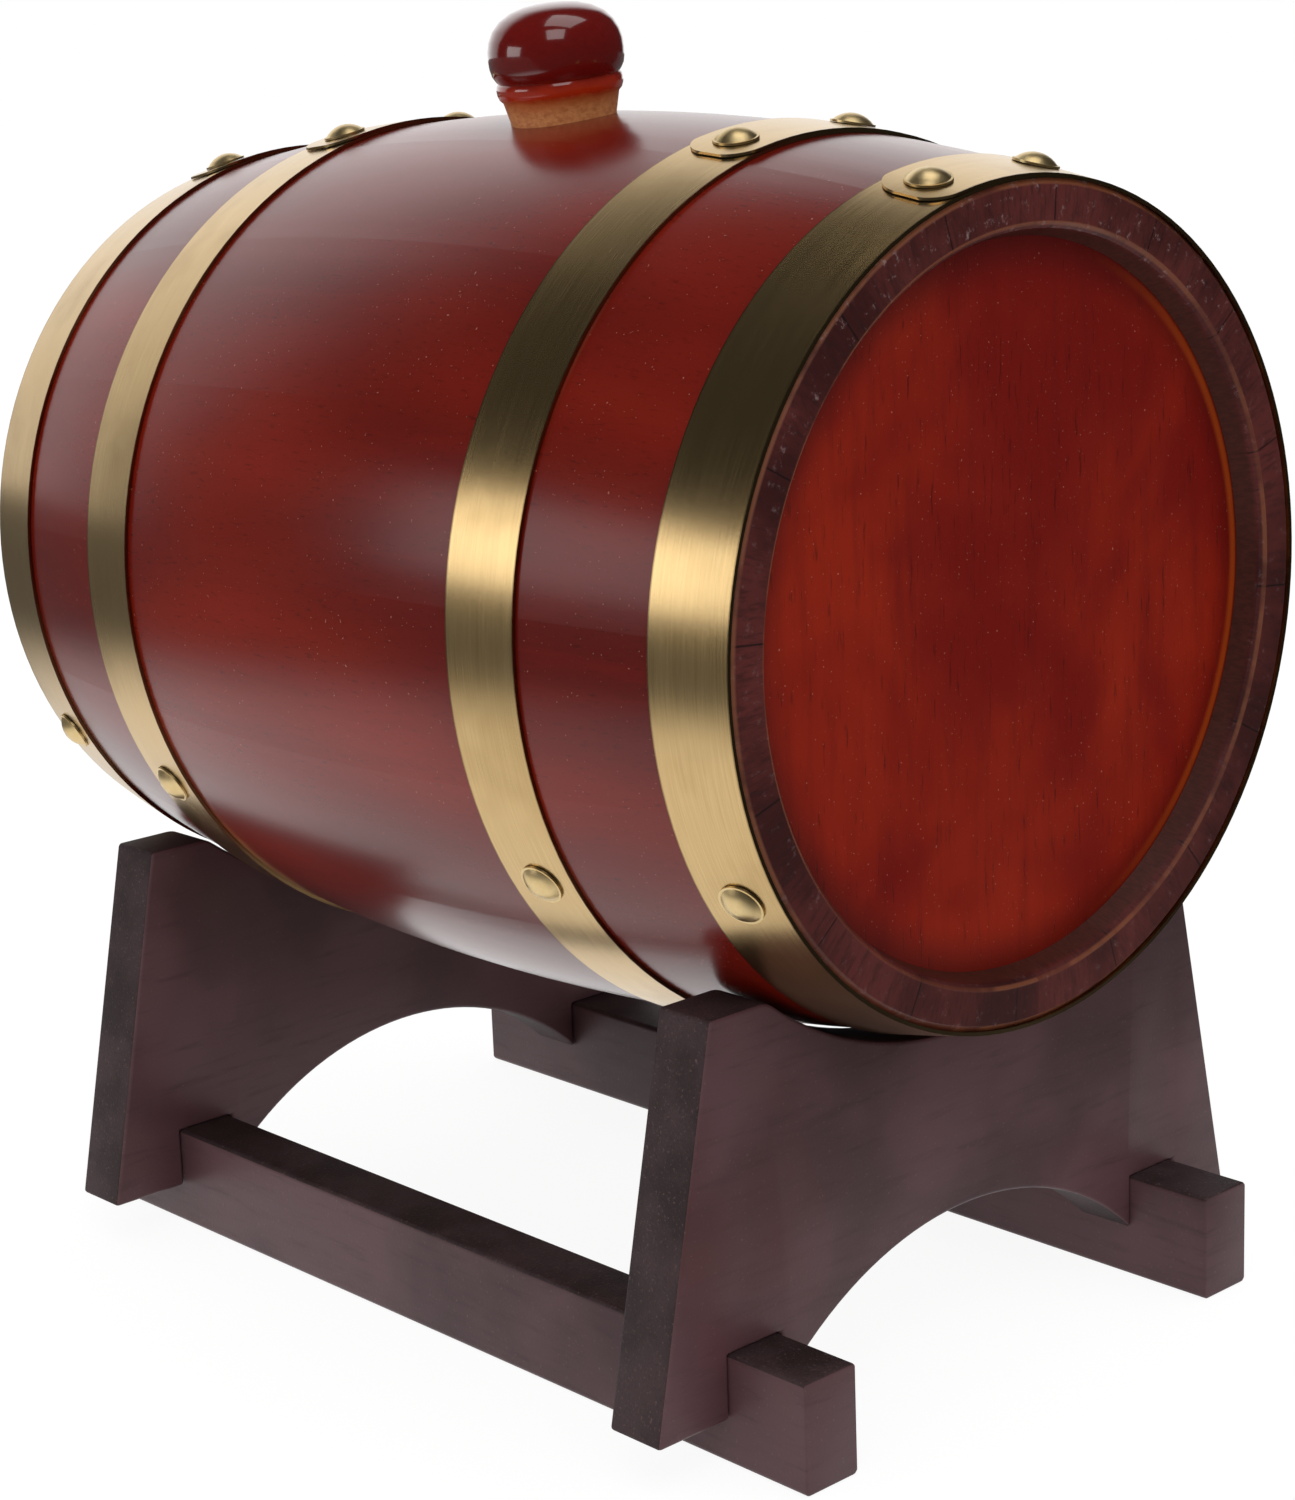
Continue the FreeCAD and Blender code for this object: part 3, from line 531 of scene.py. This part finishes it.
# %% Sawn edges
def sawn_finish():
    finish = Finish("espresso_sawn_edges")
    x, y, z = finish.place()
    grit = finish.noise(finish.join(x, y, z), 1500.0, 3.0, 0.7)
    cloud = finish.noise(finish.join(x, y, z), 60.0, 3.0, 0.6)
    colour = finish.mix(cloud.ramp(0.35, 0.65), tone(46, 32, 33), tone(62, 45, 47))
    colour = finish.mix(grit.ramp(0.58, 0.72) * 0.45, colour, tone(120, 92, 90))
    colour = finish.mix(grit.ramp(0.42, 0.32) * 0.5, colour, tone(26, 18, 19))
    relief = finish.bump(grit, 0.3, 0.5 * mm)
    finish.feed(Base_Color=colour, Roughness=0.62, Specular_IOR_Level=0.25, Normal=relief)
    return finish.material


sawn_material = sawn_finish()
print("edges:", sawn_material.name)

# %% [markdown]
# The finishes go on by name, and only the material of a packed piece changes. The bung and the
# stand get new shapes further on, which are painted as they are made.

# %% Paint the pieces
hoop_names = ("front_end_hoop", "front_belly_hoop", "rear_belly_hoop", "rear_end_hoop")


def paint(piece, material):
    piece.data.materials.clear()
    piece.data.materials.append(material)


for name in stave_names:
    paint(nodes[name], staves_material)
for name in ("front_head", "rear_head"):
    paint(nodes[name], heads_material)
for name in hoop_names:
    paint(nodes[name], hoops_material)
    paint(nodes[name.replace("hoop", "rivets")], rivets_material)
paint(nodes["bung"], bung_material)
for name in ("tap_body", "tap_spout", "tap_key"):
    paint(nodes[name], tap_material)
print("painted", len(nodes) - 4, "pieces of the cask")

# %% [markdown]
# Sawn boards never have knife edges. The corners could be rounded in the solids, but a bevel here
# leaves those plain. Each board and rail is copied, the copy is welded into one closed mesh, and its
# corners are rounded, which catches the light as sanded wood does. On a board the sawn faces are
# all but the two broad ones, and on a rail the top is one. They take the second material.


# %% Soften the stand
def deselect_all():
    for piece in list(bpy.context.selected_objects):
        piece.select_set(False)


def welded_copy(name):
    """A copy of a packed piece as one closed mesh, at the origin."""
    deselect_all()
    copy = nodes[name].copy()
    copy.data = nodes[name].data.copy()
    copy.name = name + "_softened"
    copy.parent = None
    copy.matrix_world = Matrix.Identity(4)
    scene.collection.objects.link(copy)
    copy.select_set(True)
    bpy.context.view_layer.objects.active = copy
    bpy.ops.object.mode_set(mode="EDIT")
    bpy.ops.mesh.select_all(action="SELECT")
    bpy.ops.mesh.remove_doubles(threshold=0.02 * mm)
    bpy.ops.mesh.dissolve_limited(angle_limit=math.radians(1.0))
    bpy.ops.mesh.normals_make_consistent(inside=False)
    bpy.ops.object.mode_set(mode="OBJECT")
    return copy


def soften(name, radius, material):
    """Stand a copy with rounded corners in the place of a packed piece."""
    copy = welded_copy(name)
    bevel = copy.modifiers.new("rounded corners", "BEVEL")
    bevel.width = radius
    bevel.segments = 3
    bevel.limit_method = "ANGLE"
    bevel.angle_limit = math.radians(30)
    bpy.ops.object.modifier_apply(modifier=bevel.name)
    bpy.ops.object.shade_smooth_by_angle(angle=math.radians(32))
    paint(copy, material)
    copy.data.materials.append(sawn_material)
    for face in copy.data.polygons:
        sawn = abs(face.normal.y) < 0.5 if name.endswith("board") else face.normal.z > 0.5
        face.material_index = 1 if sawn else 0
    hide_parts(name)
    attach(copy, "stand")
    print(copy.name, len(copy.data.polygons), "faces")


for name in ("front_board", "rear_board"):
    soften(name, 0.9 * mm, boards_material)
for name in ("left_rail", "right_rail"):
    soften(name, 0.5 * mm, rails_material)

# %% [markdown]
# The bung was turned on a lathe, so one outline round an axis gives all of it. A spin would do it
# too. Here a ring is pushed up step by step and scaled to the radius of the outline at each height:
# first the plug in its hole, then the collar, the groove and the full round knob. Heights start at
# the belly of the cask. Millimetres are easier to read, so the outline is written in them.

# %% Turn the bung
plug_mm = ((10.0, -15.0), (11.0, -14.0), (11.84, 0.0), (12.9, 4.4))
collar_mm = ((13.6, 5.1), (14.0, 6.1), (14.1, 7.4), (13.95, 8.2), (13.55, 8.7))
knob_side_mm = ((13.95, 9.2), (14.6, 10.3), (15.0, 12.0), (15.1, 13.8), (15.0, 15.8), (14.5, 17.8))
knob_top_mm = ((13.4, 20.0), (11.6, 21.9), (9.0, 23.4), (6.0, 24.3), (3.0, 24.7), (0.6, 24.8))
outline = [(radius * mm, height * mm) for radius, height in plug_mm + collar_mm + knob_side_mm + knob_top_mm]
deselect_all()
start_radius, start_height = outline[0]
bpy.ops.mesh.primitive_circle_add(vertices=72, radius=start_radius, fill_type="NGON", location=(0, 0, 0))
turned_bung = bpy.context.object
turned_bung.name = "turned_bung"
bpy.ops.object.mode_set(mode="EDIT")
bpy.ops.mesh.select_all(action="SELECT")
last_radius, last_height = outline[0]
for radius, height in outline[1:]:
    bpy.ops.mesh.extrude_region_move(TRANSFORM_OT_translate={"value": (0, 0, height - last_height)})
    grow = radius / last_radius
    bpy.ops.transform.resize(value=(grow, grow, 1), center_override=(0, 0, height - start_height))
    last_radius, last_height = radius, height
bpy.ops.mesh.select_all(action="SELECT")
bpy.ops.mesh.normals_make_consistent(inside=False)
bpy.ops.object.mode_set(mode="OBJECT")
bpy.ops.object.shade_smooth_by_angle(angle=math.radians(40))
print("turned", len(outline), "rings,", len(turned_bung.data.polygons), "faces")

# %% [markdown]
# The turned bung still stands upright at the origin. It is moved to the belly and leaned with the
# roll of the cask, and then the move is applied, so that its place is in its mesh.

# %% Place the bung
foot = bung_axis * (belly_radius + start_height)
turned_bung.location = (foot.x, cask_middle_y, axis_height + foot.z)
turned_bung.rotation_euler = (0, cask_roll, 0)
bpy.ops.object.transform_apply(location=True, rotation=True, scale=True)
paint(turned_bung, bung_material)
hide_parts("bung")
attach(turned_bung, "bung")
print(turned_bung.name, "stands at", [round(side, 4) for side in foot])

# %% [markdown]
# The studio is a white floor with no visible end. The camera sees it white, and it still takes the
# soft shadow of the cask. Polished pieces see it another way: pale round the cask and away from the
# camera, and dark toward the camera, which helps to put the dark bands on the brass.

# %% Floor
floor_glare = (1.06, 1.06, 1.06, 1.0)
pool_middle_y = 0.03


def floor_finish():
    finish = Finish("white_floor")
    finish.feed(Base_Color=tone(238, 238, 238), Roughness=0.9, Specular_IOR_Level=0.1)
    x, y, z = finish.place()
    far_side = y.ramp(0.32, 0.10)
    reach = (x * x + (y - pool_middle_y) * (y - pool_middle_y)).math("SQRT")
    mirrored = 0.03 + far_side * (0.09 + reach.ramp(0.64, 0.34) * 0.92)
    rays = finish.node("ShaderNodeLightPath", {}, {})
    seen = rays.output("Is Camera Ray") + rays.output("Is Transmission Ray")
    pale = finish.mix(seen.clipped(), finish.join(mirrored, mirrored, mirrored), floor_glare)
    glow = finish.node("ShaderNodeEmission", {}, {"Color": pale})
    share = (seen * 0.86 + rays.output("Is Glossy Ray")).clipped()
    blend = finish.node("ShaderNodeMixShader", {}, {0: share, 1: finish.shader, 2: glow})
    connect(finish.tree, blend, finish.surface.node.inputs["Surface"])
    return finish.material


deselect_all()
bpy.ops.mesh.primitive_plane_add(size=14.0, location=(0.0, 0.0, -0.2 * mm))
floor = bpy.context.object
floor.name = "studio_floor"
paint(floor, floor_finish())
floor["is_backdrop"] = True
print("floor:", floor.name)

# %% [markdown]
# The room is white to the camera and lights the cask evenly. In the mirror of the brass and the
# lacquer it is a dark room with one bright wall, on the side away from the camera. The wall's top
# edge drops and the wall fades as it turns toward the near side of the cask.

# %% Room
room_dark = 0.02
room_light = 0.85
wall_limit = 1.15


def make_room():
    world = bpy.data.worlds.new("studio_room")
    scene.world = world
    world.use_nodes = True
    room = Sheet(world.node_tree)
    x, y, z = room.split(room.node("ShaderNodeTexCoord", {}, {}, "Generated"))
    away = y * -1.0
    turned = x / away.math("MAXIMUM", 0.2)
    top_edge = 0.69 - x.math("MAXIMUM", 0.0) * 0.60
    below_edge = (top_edge - z).ramp(-0.13, 0.13)
    wall = (1.0 - x * 0.9).math("MINIMUM", wall_limit) * turned.ramp(0.50, 0.34) * below_edge
    mirrored = room_dark + away.ramp(0.30, 0.50) * wall
    rays = room.node("ShaderNodeLightPath", {}, {})
    shiny = rays.output("Is Glossy Ray")
    seen = (rays.output("Is Camera Ray") + rays.output("Is Transmission Ray")).clipped()
    strength = seen + (1.0 - seen) * (shiny * mirrored + (1.0 - shiny) * room_light)
    sockets = {"Color": (1.0, 1.0, 1.0, 1.0), "Strength": strength}
    back = room.node("ShaderNodeBackground", {}, sockets)
    room.node("ShaderNodeOutputWorld", {}, {"Surface": back})


make_room()
print("room:", scene.world.name)

# %% [markdown]
# Three soft lamps look at the middle of the cask. The one low on its left makes the sharp bright
# band on the hoops, the one overhead lifts the top, and the last, behind and above the camera,
# fills the head and the stand.

# %% Lamps
cask_centre = Vector((0.0, cask_middle_y, axis_height))


def lamp(name, place, width, height, power):
    data = bpy.data.lights.new(name, "AREA")
    data.shape = "RECTANGLE"
    data.size = width
    data.size_y = height
    data.energy = power
    holder = bpy.data.objects.new(name, data)
    scene.collection.objects.link(holder)
    holder.location = place
    holder.rotation_euler = (cask_centre - Vector(place)).to_track_quat("-Z", "Y").to_euler()


lamp("left_softbox", (1.46, -0.72, 0.48), 0.80, 0.50, 2.9)
lamp("top_softbox", (-0.1, 0.2, 1.6), 0.9, 0.9, 4.0)
lamp("camera_fill", (0.9, 1.0, 1.7), 0.9, 0.9, 5.0)

# %% [markdown]
# The camera stands where the photograph was taken: in front of the plain head, to its left and a
# little above, with a long lens. Heading, tilt and roll are turned into one rotation.

# %% Camera
heading = math.radians(180 - 42.5786)
tilt = math.radians(90 - 13.6991)
roll = math.radians(-2.1990)
stand_point = Vector((0.47513, 0.52460 + cask_middle_y, 0.29322))
focal_mm = 74.5
sensor_mm = 36.0
camera_data = bpy.data.cameras.new("camera")
camera_data.lens = focal_mm
camera_data.sensor_width = sensor_mm
camera = bpy.data.objects.new("camera", camera_data)
scene.collection.objects.link(camera)
aim = Matrix.Rotation(heading, 4, "Z") @ Matrix.Rotation(tilt, 4, "X") @ Matrix.Rotation(roll, 4, "Z")
camera.matrix_world = Matrix.Translation(stand_point) @ aim
scene.camera = camera
print("camera", [round(side, 3) for side in stand_point], "lens", focal_mm)

# %% [markdown]
# Softening and turning must not make the part larger than its solids. The two boxes are compared,
# and their differences are printed.

# %% Check the size and finish
visual_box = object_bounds()
grown = [round(a - b, 5) for low, high in zip(cad_box, visual_box) for a, b in zip(low, high)]
print("boxes match:", grown)
